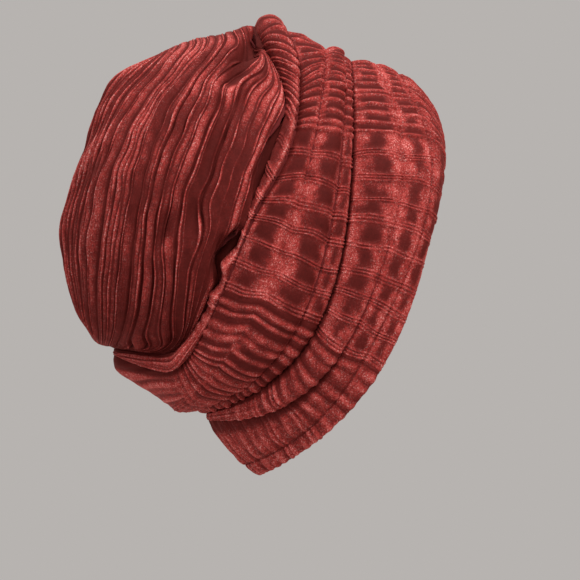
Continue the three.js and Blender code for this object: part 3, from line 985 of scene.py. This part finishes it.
hoop_panel = np.array([*hoop_panel[1:], (0.0, 0.5)])
hoop_deep = np.append(hoop_deep[1:], 0.0)
print(f"{len(CROWN_PATTERN)} hoops in {len(hoop_share)} rows")

# %% Where the hoops lie
CROWN_SWAYS = [
    {"name": "bend at the kink", "place": (-88, 44), "size": (15, 9), "turn": 57, "shift": -0.032},
    {"name": "bend behind the kink", "place": (-104, 38), "size": (12, 8), "turn": 60, "shift": 0.02},
]
MOUTH_SHARE = 1 / (len(CROWN_LINES) - 1)
TOP_FAN = 0.44
FAN_TURNS = (12, 52)
FAN_REST = 0.16
BOTTOM_GATHER = 0.64
GATHER_REACH = 2.4
GATHER_SOFTNESS = 0.03
GATHER_FROM = 92
GATHER_PACE = 1.2
DRIFTS = ((60 * MM, 44, 0.017), (24 * MM, 47, 0.005))
CALM_DRIFT = 0.45
DRIFT_HEIGHTS = (-10, 70)


def softly_above(values):
    return GATHER_SOFTNESS * np.logaddexp(0, values / GATHER_SOFTNESS)


def gathered_share(share, angle):
    """Where a hoop lies between the crown's two seams, with those near the lip gathered into its seam."""
    turn = turn_from_brow(angle)
    spread_out = FAN_REST + (1 - FAN_REST) * smooth_step(*FAN_TURNS, turn)
    edge = MOUTH_SHARE + (TOP_FAN - MOUTH_SHARE) * spread_out
    inside = MOUTH_SHARE + (share - MOUTH_SHARE) * spread_out
    beyond = edge + (share - TOP_FAN) * (1 - edge) / (1 - TOP_FAN)
    fanned = np.where(share < MOUTH_SHARE, share, np.where(share < TOP_FAN, inside, beyond))
    taken = BOTTOM_GATHER * np.clip((turn - GATHER_FROM) / (180 - GATHER_FROM), 0, 1) ** GATHER_PACE
    floor = softly_above(-taken)
    left = (softly_above(fanned - taken) - floor) / (softly_above(1 - taken) - floor)
    return taken + (1 - taken) * left - taken * (1 - left) ** GATHER_REACH


share = gathered_share(hoop_share[:, None], angle[None, :])
straight = through_lines(crown_lines, share)
drift = sum(ripple(straight, size, seed) * amount for size, seed, amount in DRIFTS)
drift = drift * (CALM_DRIFT + (1 - CALM_DRIFT) * smooth_step(*DRIFT_HEIGHTS, straight[..., 2] / MM))
drift = drift + near_side_total(straight, CROWN_SWAYS, "shift")
share = np.clip(share + drift * np.sin(np.pi * share), 0, 1)
hoops = through_lines(crown_lines, share)
print(f"crown: {hoops.shape[0]} rows of {hoops.shape[1]} columns")

# %% [markdown]
# ## The crown's wall, painted sheen and shade
# The slack cloth has dents, tucks and kinks where it is sewn into the lip. They are pushed into the rows
# first, so both faces of the wall follow them. Ridges and folds are painted bright and deep panels painted
# dark, as painted sheen, and lower down the folds are painted darker, as painted shade under light from
# above. Sculpting could do this once, but a table of dents can be read and changed.

# %% The crown's rows and inner face
BACK_GAP = 0.5 * MM
CROWN_SINK = 0.7


def back_faces(first, columns, turn):
    """Closes the last loop of the crown across the back seam, near side to far side."""
    faces = []
    for i in range(columns // 2):
        a, b = first + i, first + i + 1
        c, d = first + (columns - i - 1) % columns, first + (columns - i) % columns
        if i == 0:
            faces.append([a, b, c])
        elif i == columns // 2 - 1:
            faces.append([a, b, d])
        else:
            faces.append([a, b, c, d])
    return [face[::-1] for face in faces] if turn else faces


first_seam = seam_rows(CROWN_SEAM, 1, angle)[::-1]
outer = np.concatenate([first_seam, hoops])
dents = near_side_total(outer, CROWN_DENTS, "depth")
dents[:len(first_seam)] = 0
outer -= grid_normals(outer) * (dents * MM)[..., None]
normals = grid_normals(outer)
body = np.append(np.arange(0, len(outer) - INNER_ROW_STEP, INNER_ROW_STEP), len(outer) - 1)
inner = outer[body] - normals[body] * (WALL + CROWN_SINK * MM)
sign = np.sign(outer[body][..., 1])
inner[..., 1] = np.where(inner[..., 1] * sign < BACK_GAP, sign * BACK_GAP, inner[..., 1])
middle = np.array([0, CROWN_COLUMNS // 2])
inner[:, middle, 1] = 0.0

print("dents:", ", ".join(dent["name"] for dent in CROWN_DENTS))

# %% The crown's painted sheen, shade and lift
HOOP_SWELL = 0.4
HOOP_SWELL_SIZE = 22 * MM
HOOP_SWELL_RANGE = (0.3, 1.6)
MOST_ROOM = 1.1
TOP_CALM = 0.4
TOP_TURNS = (4, 32)
NAPE_CALM = 0.7
NAPE_TURNS = (150, 176)
MOUTH_EDGE = (0.6, 1.2)
LIT_HEIGHTS = (0, 38, 75, 120)
LIT_SHARES = (0.5, 0.85, 0.95, 1.0)
RIDGE_SHARES = (0.55, 0.95, 1.0, 1.05)
FLAT_TONE = (0.22, 0.5)
FLAT_PATCH = 0.22
FLAT_PATCH_SIZE = 26 * MM
LEAST_FLAT = 0.02
DEEP_LIGHT = 0.55
DEEP_HEIGHTS = (88, 122)
GROUND_LIGHT = 0.11
GRAIN_TONE = 0.04
GRAIN_SIZE = 6 * MM
PANEL_LIGHT = 0.92
CREST_LIGHT = 0.72
CREST_SHARPNESS = 1.5
DENT_RANGE = (0.12, 1.4)

edge = len(first_seam)
up = hoops[..., 2] / MM
swell = np.clip(1 + HOOP_SWELL * ripple(hoops, HOOP_SWELL_SIZE, seed=45), *HOOP_SWELL_RANGE)
spacing = np.linalg.norm(np.gradient(hoops, axis=0), axis=-1)
room = np.clip(spacing / spacing[:, side:side + 1], 0, MOST_ROOM)
calm = TOP_CALM + (1 - TOP_CALM) * smooth_step(*TOP_TURNS, turn_from_brow(angle))
calm = calm * (1 - NAPE_CALM * smooth_step(*NAPE_TURNS, turn_from_brow(angle)))
past_mouth = smooth_step(*MOUTH_EDGE, hoop_share / MOUTH_SHARE)[:, None]
rise = (hoop_rise[:, None] * swell * calm - CROWN_SINK) * room * past_mouth
crest = hoop_crest[:, None] * swell
patch = ripple(hoops, FLAT_PATCH_SIZE, seed=46) * FLAT_PATCH
flat = hoop_panel[:, :1] * np.clip(FLAT_TONE[0] + FLAT_TONE[1] * hoop_panel[:, 1:] + patch, LEAST_FLAT, 1)
# Folds and ridges are painted lighter higher up and darker lower down, as painted light from above.
flat = flat * np.interp(up, LIT_HEIGHTS, LIT_SHARES)
ridge_light = np.interp(up, LIT_HEIGHTS, RIDGE_SHARES)
# Deep panels are painted dark, as painted sheen, and lighter near the top.
lit_deep = hoop_deep[:, None] * DEEP_LIGHT * smooth_step(*DEEP_HEIGHTS, up)
painted_light = GROUND_LIGHT + GRAIN_TONE * ripple(hoops, GRAIN_SIZE, seed=48) + flat * PANEL_LIGHT + lit_deep
# A painted highlight along the crest of each ridge.
painted_light = painted_light + CREST_LIGHT * crest ** CREST_SHARPNESS * ridge_light
# Painted shade in the dents' hollows, and painted highlights on kinks and buckles where the shade is
# negative.
left = np.clip(1 - near_side_total(hoops, CROWN_DENTS, "shade"), *DENT_RANGE)
painted_light = np.clip(painted_light * left, 0, 1)
lift = np.concatenate([np.zeros((edge, CROWN_COLUMNS)), rise * MM])
painted_light = np.concatenate([np.zeros((edge, CROWN_COLUMNS)), painted_light])
print(f"crown: nap {painted_light.min():.2f} to {painted_light.max():.2f}, folds up to {lift.max() / MM:.1f} mm high")

# %% The crown's mesh
rows_count = len(outer)
inner = inner[:, ::INNER_COLUMN_STEP]
inner_columns = inner.shape[1]
inside = rows_count * CROWN_COLUMNS
faces = grid_faces(0, rows_count, CROWN_COLUMNS, False)
faces += back_faces((rows_count - 1) * CROWN_COLUMNS, CROWN_COLUMNS, True)
outer_count = len(faces)
faces += grid_faces(inside, len(inner), inner_columns, True)
faces += back_faces(inside + (len(inner) - 1) * inner_columns, inner_columns, False)
faces += edge_faces(0, CROWN_COLUMNS, inside, inner_columns, False)
points = np.concatenate([outer.reshape(-1, 3), inner.reshape(-1, 3)])
crown = cloth_object("crown_velvet", points, faces, outer_count, lift, painted_light)
pleat(crown, **{"Ridge Height": 1.0, "Crumple Height": 0.0010, "Crumple Scale": 110.0, "Seed": 3.0})

# %% [markdown]
# ## Where the pieces belong
# Each dressed piece rides on the hat's one body and stands for its plain piece, which is hidden. Each is also
# a sheet of cloth, gathered into a seam, and the crown's cut narrows towards the top and the nape.

for piece, plain in ((front_band, "front_band"), (rear_band, "rear_band"), (crown, "crown")):
    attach(piece, "root")
    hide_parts(plain)

# %% [markdown]
# ## Studio
# A pale floor lies below the hat, and the pale surroundings and large soft lights above and beside the
# camera light it. A wall behind the hat would hide it in a view from the back, so there is none. The camera
# looks at the hat square from its side, from far off, so the outline is nearly flat.

# %% Floor
FLOOR_Z = -0.26
FLOOR_RADIUS = 5.2
FLOOR_CORNERS = 64


def pale_floor():
    turn = np.arange(FLOOR_CORNERS) * 2 * np.pi / FLOOR_CORNERS
    points = [(FLOOR_RADIUS * np.cos(t), FLOOR_RADIUS * np.sin(t), FLOOR_Z) for t in turn]
    mesh = bpy.data.meshes.new("floor")
    mesh.from_pydata(points, [], [tuple(range(FLOOR_CORNERS))])
    paper = bpy.data.materials.new("pale_paper")
    paper.use_nodes = True
    shader = paper.node_tree.nodes["Principled BSDF"]
    shader.inputs["Base Color"].default_value = (0.56, 0.54, 0.52, 1.0)
    shader.inputs["Roughness"].default_value = 0.95
    mesh.materials.append(paper)
    floor = bpy.data.objects.new("floor", mesh)
    bpy.context.scene.collection.objects.link(floor)


pale_floor()
print(f"floor: radius {FLOOR_RADIUS} m, {-FLOOR_Z} m below the middle of the rim")

# %% Lights and camera
PIXEL = 0.56 * MM
FRAME_WIDTH = 580 * PIXEL
VIEW_CENTRE = (-35.84 * MM, 0.0, 12.88 * MM)
CAMERA_DISTANCE = 8.0
SURROUND = (0.474, 0.451, 0.434)
LIGHTS = (
    {"name": "key", "place": (0.7, -1.3, 1.5), "size": 1.0, "power": 37, "colour": (1.0, 0.97, 0.94)},
    {"name": "fill", "place": (-1.2, -1.5, 0.5), "size": 1.4, "power": 7, "colour": (0.95, 0.97, 1.0)},
    {"name": "top", "place": (-0.1, 0.1, 1.6), "size": 1.2, "power": 14, "colour": (1.0, 0.98, 0.96)},
)


def aim(thing, target):
    heading = np.array(target) - np.array(thing.location)
    thing.rotation_euler = Vector(heading).to_track_quat("-Z", "Y").to_euler()


for row in LIGHTS:
    lamp = bpy.data.lights.new(row["name"], "AREA")
    lamp.shape = "DISK"
    lamp.size = row["size"]
    lamp.energy = row["power"]
    lamp.color = row["colour"]
    holder = bpy.data.objects.new(row["name"], lamp)
    holder.location = row["place"]
    bpy.context.scene.collection.objects.link(holder)
    aim(holder, VIEW_CENTRE)

scene = bpy.context.scene
scene.world = scene.world or bpy.data.worlds.new("studio")
scene.world.use_nodes = True
scene.world.node_tree.nodes["Background"].inputs["Color"].default_value = (*SURROUND, 1.0)
scene.world.node_tree.nodes["Background"].inputs["Strength"].default_value = 1.0
scene.view_settings.view_transform = "Standard"

lens = bpy.data.cameras.new("camera")
lens.sensor_width = 36.0
lens.lens = lens.sensor_width * CAMERA_DISTANCE / FRAME_WIDTH
camera = bpy.data.objects.new("camera", lens)
camera.location = (VIEW_CENTRE[0], -CAMERA_DISTANCE, VIEW_CENTRE[2])
bpy.context.scene.collection.objects.link(camera)
aim(camera, VIEW_CENTRE)
scene.camera = camera
print(f"camera: {lens.lens:.0f} mm lens at {CAMERA_DISTANCE} m")
